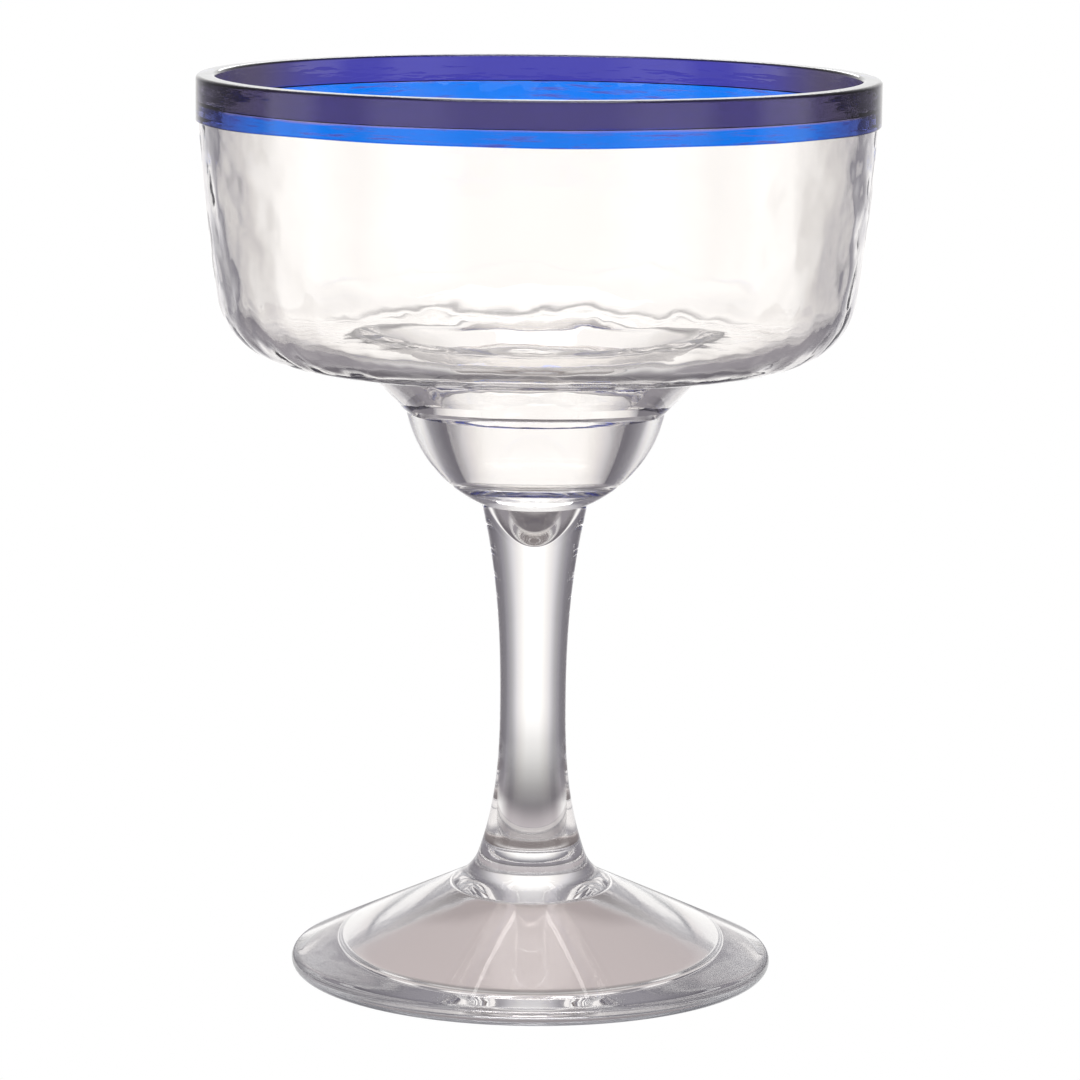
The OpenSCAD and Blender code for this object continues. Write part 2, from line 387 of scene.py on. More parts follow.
class Heights:
    """Radii and heights that several pieces share, each counted up from the piece below."""

    def __init__(self):
        band, bowl, well = sizes("glass_band"), sizes("glass_bowl"), sizes("glass_well")
        stem, foot = sizes("glass_stem"), sizes("glass_foot")
        self.rim_r = band.rim_d / 2
        self.lap_inner_r = self.rim_r - band.lap_t
        self.throat_r = bowl.throat_d / 2
        self.collar_r = self.throat_r + bowl.collar_land
        self.ball_r = self.collar_r + well.ball_swell
        self.weld_r = stem.weld_d / 2
        self.waist_r = stem.waist_d / 2
        self.hub_r = foot.hub_d / 2
        self.foot_r = foot.foot_d / 2
        slope = foot.foot_slope
        self.edge = np.array([self.foot_r - foot.foot_edge_r, foot.foot_edge_r])
        self.slope_start = self.edge + foot.foot_edge_r * np.array(
            [math.sin(slope), math.cos(slope)]
        )
        self.slope = slope
        self.hub_lean = math.atan(
            (self.hub_r - self.waist_r) * stem.flare_down / stem.waist_h
        )
        sweep_end_r = self.hub_r + foot.hub_sweep_r * (
            math.cos(self.hub_lean) - math.sin(slope)
        )
        self.hub_z = self.slope_z(sweep_end_r) + foot.hub_sweep_r * (
            math.cos(slope) - math.sin(self.hub_lean)
        )
        self.tenon_z = self.hub_z - stem.tenon_h
        self.waist_z = self.hub_z + stem.waist_h
        self.weld_z = self.hub_z + stem.stem_h
        self.ball_z = self.weld_z + math.sqrt(self.ball_r**2 - self.weld_r**2)
        self.collar_z = self.ball_z - math.sqrt(self.ball_r**2 - self.collar_r**2)
        self.throat_z = self.collar_z + bowl.throat_h
        self.plug_z = self.collar_z + well.plug_h
        self.underside_z = self.collar_z + bowl.collar_h
        self.floor_z = self.underside_z + bowl.floor_t
        self.band_z = self.underside_z + bowl.wall_h
        self.lap_z = self.band_z + band.lap_h
        self.lip_z = self.lap_z + band.lip_h
        wall_r = self.rim_r - band.band_proud
        self.bow = np.array(
            [
                wall_r - bowl.wall_bow_r * math.cos(bowl.wall_lean),
                self.band_z + bowl.wall_bow_r * math.sin(bowl.wall_lean),
            ]
        )

    def slope_z(self, r):
        """Height of the foot's sloping top at a radius."""
        return self.slope_start[1] + (self.slope_start[0] - r) * math.tan(self.slope)

    def slope_r(self, z):
        """Radius of the foot's sloping top at a height."""
        return self.slope_start[0] - (z - self.slope_start[1]) / math.tan(self.slope)

    def bow_at(self, bow_r, z):
        """Radius of the wall at a height, on the face whose bow has that radius."""
        return self.bow[0] + bow_r * math.cos(bow_lean(self.bow, bow_r, z))


# Relief

# The radius at which the bowl's dents are laid out round the wall
MEAN_WALL_R = 52 * MM
# The radii over which the dents set in, on the inner and on the outer face, and the outer
# dents' share of the inner ones' depth
INNER_DENTS = (30 * MM, 38 * MM)
OUTER_DENTS = (40 * MM, 50 * MM)
OUTER_SHARE = 0.35
# How far under the skirt the dents fade out, and how far over the floor they stand upright
DENTS_END = (8 * MM, 3 * MM)
DENTS_UPRIGHT = 6 * MM
# How far under the skirt the wall starts to follow its edge, and where the parting line ends
SKIRT_REACH = 7 * MM
SEAM_END = 1.5 * MM
# A point of the band that lies this far outside the lap's inner radius is on the outer face,
# and a point of the wall no further than this inside it follows the skirt's edge
OUTER_FACE_FROM, SKIRT_EDGE_FROM = 0.2 * MM, 0.1 * MM
DENT_SEED = 7
DENT_SQUASH = 0.8
# How far a dent strays, as a share of the step, the least and the spread of its face's radius,
# as shares of face_r, and the divisors in its highest lift and in the softness of the edges
SCATTER = 0.95
LEAST_FACE, FACE_SPREAD = 0.7, 0.9
LIFT_DIVISOR, SOFT_DIVISOR = 6, 9


def hammer(across, wide, up, step, face_r, seed, squash=1.0):
    """Depth of a hammered face that closes on itself after the width. Dents lie about one step
    apart, and each is a shallow cup, distance squared / (2 face_r). The deepest cup at each
    point counts, and their meeting edges are softened: -s log(sum(exp(-cup / s)))."""
    rng = np.random.default_rng(seed)
    tall = up.max() - up.min()
    columns, rows = max(3, round(wide / step)), max(2, round(tall * squash / step) + 2)
    u, v = np.meshgrid(
        np.arange(columns) / columns * wide,
        np.linspace(-0.5, rows - 0.5, rows) * tall / (rows - 1),
    )
    u = (u + (rng.random(u.shape) - 0.5) * step * SCATTER).ravel()
    v = (v + up.min() + (rng.random(v.shape) - 0.5) * step * SCATTER / squash).ravel()
    radii = face_r * (LEAST_FACE + FACE_SPREAD * rng.random(len(u)))
    lift = rng.random(len(u)) * step**2 / (LIFT_DIVISOR * face_r)
    soft = step**2 / (SOFT_DIVISOR * face_r)
    total = np.zeros(across.shape)
    for cu, cv, cr, cl in zip(u, v, radii, lift):
        du = np.abs(across - cu) % wide
        du = np.minimum(du, wide - du)
        cup = (du**2 + ((up - cv) * squash) ** 2) / (2 * cr) + cl
        total += np.exp(-cup / soft)
    return -soft * np.log(np.maximum(total, 1e-30))


def fade(x, start, end):
    """0 before start, 1 after end, and 3t^2 - 2t^3 between."""
    t = np.clip((x - start) / (end - start), 0, 1)
    return t * t * (3 - 2 * t)


def parting_line(turns_at, r, height, width):
    """A thin ridge at the front and at the back: height exp(-(distance / width)^2)."""
    off = np.abs((turns_at % math.pi) - math.pi / 2) * r
    return height * np.exp(-((off / width) ** 2))


def skirt_edge(band, a):
    """How far the skirt's lower edge stands above its level at an angle: it wanders by
    flow (0.5 sin(2a + 1) + 0.3 sin(5a) + 0.2 sin(11a + 2)) and sags at the back by
    sag (1 + sin a) / 2."""
    wander = 0.5 * np.sin(2 * a + 1) + 0.3 * np.sin(5 * a) + 0.2 * np.sin(11 * a + 2)
    return band.flow * wander - band.sag * (1 + np.sin(a)) / 2


# Materials


def add(tree, kind, settings=None, links=None, **where):
    """Adds a node, sets its properties and sockets, and links other nodes' sockets to it."""
    node = tree.nodes.new(kind)
    for key, value in where.items():
        setattr(node, key, value)
    for key, value in (settings or {}).items():
        node.inputs[key].default_value = value
    for key, socket in (links or {}).items():
        tree.links.new(socket, node.inputs[key])
    return node


def empty_material(name):
    """A material with nothing but its output node."""
    material = bpy.data.materials.new(name)
    material.use_nodes = True
    tree = material.node_tree
    tree.nodes.clear()
    return material, tree, add(tree, "ShaderNodeOutputMaterial")


def ripple(tree, scale_mm, depth_mm, detail=1.0, flatten=1.0):
    """The faint unevenness of a moulded face: noise of that size as bump, in Object
    coordinates, and so many times finer in height than round the piece. It gives the normal
    and the coordinates."""
    spot = add(tree, "ShaderNodeTexCoord").outputs["Object"]
    spread = add(tree, "ShaderNodeMapping", {"Scale": (1, 1, flatten)}, {"Vector": spot})
    noise = add(
        tree,
        "ShaderNodeTexNoise",
        {"Scale": 1 / (scale_mm * MM), "Detail": detail, "Roughness": 0.4},
        {"Vector": spread.outputs["Vector"]},
    )
    bump = add(
        tree,
        "ShaderNodeBump",
        {"Strength": 1.0, "Distance": depth_mm * MM},
        {"Height": noise.outputs["Fac"]},
    )
    return bump.outputs["Normal"], spot


def clear_acrylic(name, scale_mm, depth_mm, roughness=0.0, edge=None):
    """Clear moulded acrylic (PMMA), injected into a polished mould. It gives the eye clean
    refraction, sharp edges of light and a faint unevenness that bends straight lines. An edge
    is a colour, the height up to which it holds and the height where it has faded: it is painted
    shade, which tints the rim darker towards the table than the middle."""
    looks = sizes("glass_looks")
    drift_mm = 22
    material, tree, output = empty_material(name)
    normal, spot = ripple(tree, scale_mm, depth_mm)
    drift = add(
        tree,
        "ShaderNodeTexNoise",
        {"Scale": 1 / (drift_mm * MM), "Detail": 1.0},
        {"Vector": spot},
    )
    tint = add(
        tree,
        "ShaderNodeMix",
        {6: (*looks.clear, 1), 7: (*looks.clear_drift, 1)},
        {"Factor": drift.outputs["Fac"]},
        data_type="RGBA",
    ).outputs[2]
    # An edge is painted shade: the tint turns darker towards the bottom of the piece.
    if edge is not None:
        shade, full_z, end_z = edge
        apart = add(tree, "ShaderNodeSeparateXYZ", links={"Vector": spot})
        up = add(
            tree,
            "ShaderNodeMapRange",
            {"From Min": full_z, "From Max": end_z},
            {"Value": apart.outputs["Z"]},
            interpolation_type="SMOOTHSTEP",
        )
        tint = add(
            tree,
            "ShaderNodeMix",
            {6: (*shade, 1)},
            {"Factor": up.outputs["Result"], 7: tint},
            data_type="RGBA",
        ).outputs[2]
    shader = add(
        tree,
        "ShaderNodeBsdfPrincipled",
        {"Roughness": roughness, "IOR": looks.ior, "Transmission Weight": 1.0},
        {"Base Color": tint, "Normal": normal},
    )
    tree.links.new(shader.outputs["BSDF"], output.inputs["Surface"])
    return material


def screen_light(tree, direction):
    """Light of the room by its direction round the glass, as SCREEN_STOPS gives it: white
    straight ahead (+Y), falling within 40 degrees to grey, with a bright screen at each side
    and another on each side behind the camera, and lighter grey straight behind it. The angle
    is arccos(y / length of (x, y))."""
    level = add(
        tree, "ShaderNodeVectorMath", {1: (1, 1, 0)}, {0: direction}, operation="MULTIPLY"
    )
    unit = add(
        tree, "ShaderNodeVectorMath", links={0: level.outputs[0]}, operation="NORMALIZE"
    )
    apart = add(tree, "ShaderNodeSeparateXYZ", links={"Vector": unit.outputs[0]})
    turn = add(tree, "ShaderNodeMath", links={0: apart.outputs["Y"]}, operation="ARCCOSINE")
    part = add(
        tree,
        "ShaderNodeMapRange",
        {"From Min": 0.0, "From Max": math.pi},
        {"Value": turn.outputs["Value"]},
    )
    ramp = add(tree, "ShaderNodeValToRGB", links={"Fac": part.outputs["Result"]})
    stops = ramp.color_ramp.elements
    stops[0].position, stops[0].color = SCREEN_STOPS[0][0] / 180, linear(SCREEN_STOPS[0][1])
    stops[1].position, stops[1].color = 1.0, linear(SCREEN_STOPS[-1][1])
    for degrees, code in SCREEN_STOPS[1:-1]:
        stops.new(degrees / 180).color = linear(code)
    return ramp.outputs["Color"]


def seen_plain(tree, light, plain):
    """The first shader for all rays but the camera's own, which get the second."""
    path = add(tree, "ShaderNodeLightPath")
    mixed = add(
        tree,
        "ShaderNodeMixShader",
        links={0: path.outputs["Is Camera Ray"], 1: light, 2: plain},
    )
    return mixed.outputs["Shader"]


def lit_only(name, pieces):
    """A group of the pieces that a flagged lamp reaches."""
    group = bpy.data.collections.new(name)
    for piece in pieces:
        group.objects.link(bpy.data.objects[piece])
    return group


def bond(name, tint=(1, 1, 1)):
    """A face inside a bonded joint, where cement of the same index as acrylic fills the gap.
    Light goes straight through it."""
    material, tree, output = empty_material(name)
    shader = add(tree, "ShaderNodeBsdfTransparent", {"Color": (*tint, 1)})
    tree.links.new(shader.outputs["BSDF"], output.inputs["Surface"])
    return material


def blue_acrylic(name, marks):
    """Cobalt-blue acrylic, moulded over the clear wall. The thin skirt lets a bright blue
    through with darker streaks where it flowed, and the thick lip is near navy. The lip's back
    has painted light: it is tinted lighter there, where the light comes in. Both are duller at
    the left and right ends, where the eye looks along them. Shares rise over a stretch of noise,
    depth or height, and mix the colours."""
    looks = sizes("glass_looks")
    material, tree, output = empty_material(name)
    normal, spot = ripple(tree, scale_mm=8, depth_mm=0.045, detail=2.0, flatten=7)
    apart = add(tree, "ShaderNodeSeparateXYZ", links={"Vector": spot})
    depth, height = apart.outputs["Y"], apart.outputs["Z"]
    from_end = add(
        tree, "ShaderNodeMath", links={0: depth}, operation="ABSOLUTE"
    ).outputs["Value"]
    flat = add(tree, "ShaderNodeMapping", {"Scale": (1, 1, 16)}, {"Vector": spot})
    streaks, wander = (
        add(
            tree,
            "ShaderNodeTexNoise",
            {"Scale": 1 / (size_mm * MM), "Detail": detail, "Roughness": roughness},
            {"Vector": flat.outputs["Vector"]},
        ).outputs["Fac"]
        for size_mm, detail, roughness in ((9, 5.0, 0.65), (16, 2.0, 0.5))
    )
    # How far the change from skirt to lip wanders, and how much the streaks tell in the lip
    step_wander, streak_share = 0.9 * MM, 0.7
    shifted = add(
        tree,
        "ShaderNodeMath",
        {1: step_wander},
        {0: wander, 2: height},
        operation="MULTIPLY_ADD",
    ).outputs["Value"]
    made = {}
    for part, value, low, high, first, last, curve in (
        ("thin", streaks, 0.52, 0.66, 0, 0.85, "SMOOTHSTEP"),
        ("off_end", from_end, 8 * MM, 40 * MM, 0, 1, "SMOOTHSTEP"),
        ("lip_off_end", from_end, 24 * MM, 48 * MM, 0, 1, "SMOOTHSTEP"),
        # to_back paints light on the lip's back, which is tinted lighter than its front.
        ("to_back", depth, -30 * MM, 30 * MM, -0.35, 0.65, "LINEAR"),
        ("in_lip", shifted, marks.lap_z + 0.1 * MM, marks.lap_z + 0.7 * MM, 0, 1, "SMOOTHSTEP"),
    ):
        made[part] = add(
            tree,
            "ShaderNodeMapRange",
            {"From Min": low, "From Max": high, "To Min": first, "To Max": last},
            {"Value": value},
            interpolation_type=curve,
        ).outputs["Result"]
    made["uneven"] = add(
        tree,
        "ShaderNodeMath",
        {1: streak_share},
        {0: streaks, 2: made["to_back"]},
        operation="MULTIPLY_ADD",
    ).outputs["Value"]
    for part, factor, *colours in (
        ("plain_skirt", "off_end", "skirt_end", "skirt"),
        ("streaked_skirt", "thin", "plain_skirt", "streak"),
        ("middle_lip", "uneven", "lip_front", "lip_back"),
        ("whole_lip", "lip_off_end", "lip_end", "middle_lip"),
        ("tint", "in_lip", "streaked_skirt", "whole_lip"),
    ):
        sockets = dict(zip((6, 7), colours))
        made[part] = add(
            tree,
            "ShaderNodeMix",
            {s: (*getattr(looks, c), 1) for s, c in sockets.items() if c not in made},
            {"Factor": made[factor], **{s: made[c] for s, c in sockets.items() if c in made}},
            data_type="RGBA",
        ).outputs[2]
    shader = add(
        tree,
        "ShaderNodeBsdfPrincipled",
        {"Roughness": 0.0, "IOR": looks.ior, "Transmission Weight": 1.0},
        {"Base Color": made["tint"], "Normal": normal},
    )
    tree.links.new(shader.outputs["BSDF"], output.inputs["Surface"])
    return material


def dress(piece, node, materials):
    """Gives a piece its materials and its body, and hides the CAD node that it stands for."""
    for material in materials:
        piece.data.materials.append(material)
    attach(piece, ROOT)
    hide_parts(node)


# Degrees round from straight ahead, and the light's colour there
SCREEN_STOPS = (
    (7, "#FFFFFF"),
    (12, "#F0EFEE"),
    (16, "#E2E0E1"),
    (20, "#D2D1D5"),
    (24, "#BBBABF"),
    (29, "#9C9B9F"),
    (35, "#828088"),
    (44, "#737178"),
    (60, "#625F66"),
    (75, "#68656C"),
    (82, "#ECEAEA"),
    (98, "#ECEAEA"),
    (106, "#7C7A80"),
    (118, "#8A888C"),
    (126, "#ECEAEA"),
    (144, "#ECEAEA"),
    (156, "#B4B2B4"),
    (180, "#B4B2B4"),
)


# The shares of the table's light, and the stretch over which each rises. ahead is the cosine
# of the bearing from straight ahead, away is the distance from the axis, and slant is 1 for a
# ray along the table and 0 for one straight down.
# behind, rear and off_axis place the glass's painted shadow behind it and in the hollow, and the
# steep shares place painted shade for steep rays.
TABLE_SHARES = (
    ("behind", "ahead", 0.743, 0.951),
    ("rear", "ahead", 0.5, 0.819),
    ("not_front", "ahead", -0.3, 0.1),
    ("off_axis", "away", 14 * MM, 24 * MM),
    ("past_hollow", "away", 27 * MM, 34 * MM),
    ("under_ring", "away", 28 * MM, 36 * MM),
    ("far_out", "away", 60 * MM, 250 * MM),
    ("off_hub", "away", 11 * MM, 22 * MM),
    ("steep_inside", "slant", 0.64, 0.38),
    ("steep_ring", "slant", 0.5, 0.2),
    ("steep_outside", "slant", 0.73, 0.52),
    ("from_above", "slant", 0.24, 0.13),
)
# The table's lights, with their painted shadows and painted shade: each is mixed from two others
# by a share
TABLE_LIGHTS = (
    ("hollow", "shaded", "hollow_painted_shadow", "table_shade"),
    # At the ring and for steep rays, the light straight behind the foot is the glass's painted
    # shadow.
    ("ring", "behind", "table_ring", "table_behind"),
    ("inside", "under_ring", "hollow", "ring"),
    ("down", "behind", "table_down", "table_down_behind"),
    # Outside the foot, steep rays see the grey painted shade of table_down instead of the room.
    ("around", "steep_outside", "lit", "down"),
)
# At the front the light round the foot starts this much further out than behind it
FRONT_REACH = 30 * MM
AROUND_FOOT = (75 * MM, 100 * MM)


class GLASS_OT_band(bpy.types.Operator):
    """Makes the blue rim band: a thick lip with a thin skirt that laps over the clear wall"""

    bl_idname = "glass.band"
    bl_label = "Rim band"

    def execute(self, context):
        marks, band, bowl = Heights(), sizes("glass_band"), sizes("glass_bowl")
        inner_bow_r = bowl.wall_bow_r - bowl.wall_t
        lip_in = [marks.bow_at(inner_bow_r, marks.lip_z), marks.lip_z]
        lip_out = [marks.rim_r, marks.lip_z]
        seat_z = marks.lap_z + SEAT_GAP
        seat_in = [marks.bow_at(inner_bow_r, marks.lap_z), seat_z]
        skirt_in = [marks.lap_inner_r, marks.band_z]
        skirt_out = [marks.rim_r, marks.band_z]
        outline = Outline()
        outline.add(line(seat_in, [marks.lap_inner_r, seat_z], steps=2)[:-1], SEAT)
        outline.add(line([marks.lap_inner_r, seat_z], skirt_in, steps=6)[:-1], BOND)
        outline.add([skirt_in])
        outline.add(rounded(skirt_in, skirt_out, lip_out, band.lap_round, steps=8))
        low, high = marks.band_z + band.lap_round, marks.lip_z - band.lip_round
        outline.add(line([marks.rim_r, low], [marks.rim_r, high], steps=16)[1:-1])
        outline.add(rounded(skirt_out, lip_out, lip_in, band.lip_round, steps=14))
        outline.add(rounded(lip_out, lip_in, seat_in, band.lip_round, steps=14))

        def flow(r, z, a):
            """The skirt's lower edge wanders as skirt_edge gives it, fading out towards the
            lip, and the outer face undulates by sway (sin(7a) + sin(13a + 1) - 2), inwards."""
            low_part = 1 - fade(z, marks.band_z, marks.lap_z)
            z = z + low_part * skirt_edge(band, a)
            outside = r > marks.lap_inner_r + OUTER_FACE_FROM
            sway = band.sway * (np.sin(7 * a) + np.sin(13 * a + 1) - 2)
            return r + outside * sway, z

        looks = sizes("glass_looks")
        piece = turned("blue_rim_band", outline, turns(looks.around), flow)
        materials = [
            blue_acrylic("moulded_cobalt_acrylic", marks),
            bond("band_bond"),
            bond("blue_lip_seat", looks.seat),
        ]
        dress(piece, "rim_band", materials)
        return {"FINISHED"}


class GLASS_OT_bowl(bpy.types.Operator):
    """Makes the clear bowl: a hammered wall and floor over a straight-sided collar"""

    bl_idname = "glass.bowl"
    bl_label = "Bowl"

    def execute(self, context):
        marks, bowl, band = Heights(), sizes("glass_bowl"), sizes("glass_band")
        inner_bow_r = bowl.wall_bow_r - bowl.wall_t
        tan_lean = math.tan(bowl.collar_lean)
        collar_edge = [marks.collar_r, marks.collar_z]
        collar_top = [marks.collar_r + bowl.collar_h * tan_lean, marks.underside_z]
        throat = [marks.throat_r, marks.throat_z]
        funnel_top = [
            marks.throat_r + (marks.floor_z - marks.throat_z) * tan_lean,
            marks.floor_z,
        ]
        up_wall = 60
        outer = bowed_face(
            marks.bow, bowl.wall_bow_r, bowl.corner_r, marks.underside_z, marks.band_z, up_wall
        )
        inner = bowed_face(
            marks.bow,
            inner_bow_r,
            bowl.corner_r - bowl.wall_t,
            marks.floor_z,
            marks.lap_z,
            up_wall,
        )
        fillet = rounded(collar_edge, collar_top, outer[0], bowl.collar_fillet)
        brow = rounded(inner[0], funnel_top, throat, bowl.funnel_round)
        outline = Outline()
        outline.add(line(collar_edge, fillet[0], steps=6)[:-1])
        outline.add(fillet)
        outline.add(line(fillet[-1], outer[0], steps=8)[1:-1])
        outline.add(outer)
        step_low, step_high = [marks.lap_inner_r, marks.band_z], [marks.lap_inner_r, marks.lap_z]
        outline.add(line(step_low, step_high, steps=6)[:-1], BOND)
        outline.add([step_high], BOND)
        outline.add(inner[::-1])
        outline.add(line(inner[0], brow[0], steps=8)[1:-1])
        outline.add(brow)
        outline.add(line(brow[-1], throat, steps=6)[1:-1])
        outline.add([throat])
        outline.add([[marks.throat_r, marks.plug_z], [marks.throat_r, marks.collar_z]], BOND)

        def relief(r, z, a):
            """Dents on the inner face and, shallower, on the outer one, measured round the wall
            and along its outline. The outline runs up the outer face, over the upper edge and
            down the inner one. On the floor the dents are level and on the wall upright. The
            wall's step follows the skirt's edge, and the parting line stands on the outside."""
            steps = np.hypot(np.diff(r[:, 0]), np.diff(z[:, 0]))
            along = np.cumsum(np.concatenate([[0], steps]))[:, None] + 0 * a
            top_row = np.flatnonzero(z[:, 0] > marks.lap_z - SLACK)[-1]
            inner_rows = np.arange(len(r))[:, None] >= top_row
            inside = inner_rows & (z >= marks.floor_z - SLACK)
            dent = hammer(
                a * MEAN_WALL_R,
                2 * math.pi * MEAN_WALL_R,
                along,
                bowl.dent_step,
                bowl.dent_r,
                DENT_SEED,
                DENT_SQUASH,
            )
            depth = dent - dent.min()
            under_skirt = 1 - fade(z, marks.band_z - DENTS_END[0], marks.band_z - DENTS_END[1])
            inner_dent = inside * under_skirt * fade(r, *INNER_DENTS) * depth
            outer_dent = (~inside) * under_skirt * fade(r, *OUTER_DENTS) * OUTER_SHARE * depth
            upright = fade(z, marks.floor_z, marks.floor_z + DENTS_UPRIGHT)
            r = r + inner_dent * upright - outer_dent
            z = z - inner_dent * (1 - upright)
            at_skirt = (~inside) & (r > marks.lap_inner_r - SKIRT_EDGE_FROM)
            rise = fade(z, marks.band_z - SKIRT_REACH, marks.band_z - SLACK)
            fall = fade(z, marks.band_z + SLACK, marks.lap_z)
            z = z + at_skirt * (rise * (1 - fall)) * skirt_edge(band, a)
            has_seam = (~inside) & (r > OUTER_DENTS[0]) & (z < marks.band_z - SEAM_END)
            return r + has_seam * parting_line(a, r, bowl.seam_h, bowl.seam_w), z

        piece = turned("clear_bowl", outline, turns(sizes("glass_looks").around), relief)
        clear = clear_acrylic("hammered_clear_acrylic", scale_mm=5, depth_mm=0.06)
        dress(piece, "bowl", [clear, bond("bowl_bond")])
        return {"FINISHED"}


class GLASS_OT_well(bpy.types.Operator):
    """Makes the well: a ball-shaped cup that takes the bowl's funnel on to the stem"""

    bl_idname = "glass.well"
    bl_label = "Well"

    def execute(self, context):
        marks, well = Heights(), sizes("glass_well")
        stem = sizes("glass_stem")
        plug_top = [marks.throat_r, marks.plug_z]
        cup_floor_z = marks.weld_z + well.cup_floor_t
        cup_bow = [
            marks.throat_r - well.plug_land - well.cup_bow_r * math.cos(well.cup_lean),
            marks.plug_z + well.cup_bow_r * math.sin(well.cup_lean),
        ]
        cup = bowed_face(
            cup_bow, well.cup_bow_r, well.cup_corner_r, cup_floor_z, marks.plug_z, steps=24
        )
        turn = rounded(plug_top, cup[-1], cup[-2], well.plug_round, steps=8)
        ball = arc(
            [0, marks.ball_z],
            marks.ball_r,
            -math.acos(marks.weld_r / marks.ball_r),
            -math.acos(marks.collar_r / marks.ball_r),
            steps=48,
        )
        pocket_r = marks.weld_r - stem.weld_land
        outline = Outline()
        outline.add([[0, marks.weld_z]])
        outline.add(line([pocket_r, marks.weld_z], ball[0], steps=2)[:-1], BOND)
        outline.add(ball)
        outline.slots[-1][-1] = BOND
        outline.add([[marks.throat_r, marks.collar_z]], BOND)
        outline.add([plug_top])
        outline.add(turn)
        outline.add(cup[-2::-1])
        outline.add([[0, cup_floor_z]])

        def seam(r, z, a):
            """The parting line runs down the ball, inside its own radius so that the ball stays
            as wide as it is."""
            on_ball = (np.hypot(r, z - marks.ball_z) > marks.ball_r - SLACK) & (r > marks.weld_r)
            return r - on_ball * parting_line(a, r, well.ball_seam_h, well.ball_seam_w), z

        piece = turned("ball_well", outline, turns(sizes("glass_looks").around), seam)
        clear = clear_acrylic("polished_clear_acrylic", scale_mm=12, depth_mm=0.008)
        dress(piece, "well", [clear, bond("well_bond")])
        return {"FINISHED"}


class GLASS_OT_stem(bpy.types.Operator):
    """Makes the solid stem, with its air pocket on top and its tenon below"""

    bl_idname = "glass.stem"
    bl_label = "Stem"

    def execute(self, context):
        marks, stem = Heights(), sizes("glass_stem")
        tenon_r = stem.tenon_d / 2
        flare_steps, pocket_steps = 48, 32
        s = np.linspace(0, 1, flare_steps + 1)
        lower = np.column_stack(
            [
                marks.waist_r + (marks.hub_r - marks.waist_r) * (1 - s) ** stem.flare_down,
                marks.hub_z + stem.waist_h * s,
            ]
        )
        upper = np.column_stack(
            [
                marks.waist_r + (marks.weld_r - marks.waist_r) * s**stem.flare_up,
                marks.waist_z + (stem.stem_h - stem.waist_h) * s,
            ]
        )
        across = np.linspace(1, 0, pocket_steps + 1)[:, None]
        pocket = across * [marks.weld_r - stem.weld_land, 0]
        pocket[:, 1] = marks.weld_z - stem.pocket_h * (1 - (pocket[:, 0] / pocket[0, 0]) ** 2)
        outline = Outline()
        outline.add([[0, marks.tenon_z], [tenon_r, marks.tenon_z], [tenon_r, marks.hub_z]], BOND)
        outline.add(lower)
        outline.add(upper[1:-1])
        outline.add([upper[-1]], BOND)
        outline.add(pocket)
        piece = turned("solid_stem", outline, turns(sizes("glass_looks").around))
        clear = clear_acrylic("drawn_clear_acrylic", scale_mm=14, depth_mm=0.006)
        dress(piece, "stem", [clear, bond("stem_bond")])
        return {"FINISHED"}


class GLASS_OT_foot(bpy.types.Operator):
    """Makes the foot: a hub, a sloping web over a hollow, and the ring that it stands on"""

    bl_idname = "glass.foot"
    bl_label = "Foot"

    def execute(self, context):
        marks, foot, stem = Heights(), sizes("glass_foot"), sizes("glass_stem")
        tenon_r = stem.tenon_d / 2
        hollow_r = marks.foot_r - foot.ring_w
        web_drop = foot.web_t / math.cos(marks.slope)
        lean = marks.hub_lean
        centre = np.array([marks.hub_r, marks.hub_z]) + foot.hub_sweep_r * np.array(
            [math.cos(lean), math.sin(lean)]
        )
        sweep = arc(
            centre, foot.hub_sweep_r, math.pi + lean, 1.5 * math.pi - marks.slope, steps=20
        )
        edge = arc(
            marks.edge, foot.foot_edge_r, math.pi / 2 - marks.slope, -math.pi / 2, steps=20
        )
        mouth = [hollow_r, 0]
        web_foot = [hollow_r, foot.hollow_h]
        ceiling_z = marks.hub_z - foot.hub_t
        ceiling_edge = [marks.slope_r(ceiling_z + web_drop), ceiling_z]
        lip = rounded([marks.edge[0], 0], mouth, web_foot, foot.mouth_round)
        low = rounded(mouth, web_foot, ceiling_edge, foot.hollow_fillet)
        high = rounded(web_foot, ceiling_edge, [0, ceiling_z], foot.ceiling_fillet)
        outline = Outline()
        outline.add([[0, ceiling_z]])
        outline.add(high[::-1])
        outline.add(line(high[0], low[-1], steps=24)[:-1], SATIN)
        outline.add(np.vstack([low[::-1], lip[::-1]]))
        outline.add(line(lip[0], edge[-1], steps=6)[1:-1])
        outline.add(edge[::-1], RIM)
        outline.add(line(edge[0], sweep[-1], steps=30)[1:-1], RIM)
        outline.add(sweep[::-1], RIM)
        outline.slots[-1][-1] = BOND
        outline.add([[tenon_r, marks.hub_z], [tenon_r, marks.tenon_z], [0, marks.tenon_z]], BOND)
        piece = turned("hollow_foot", outline, turns(sizes("glass_looks").around))
        edge_shade = (sizes("glass_looks").edge, 0.5 * foot.foot_edge_r, 2 * foot.foot_edge_r)
        # In the order of the slots. The web's underside was pressed on a blasted core, so it is
        # satin and blurs the table a little, and the rim has painted shade, darker towards the
        # table.
        materials = [
            clear_acrylic("pressed_clear_acrylic", scale_mm=9, depth_mm=0.012),
            bond("foot_bond"),
            clear_acrylic("satin_clear_acrylic", scale_mm=3, depth_mm=0.03, roughness=0.1),
            clear_acrylic(
                "clear_acrylic_painted_rim_shade", scale_mm=9, depth_mm=0.012, edge=edge_shade
            ),
        ]
        dress(piece, "foot", materials)
        return {"FINISHED"}


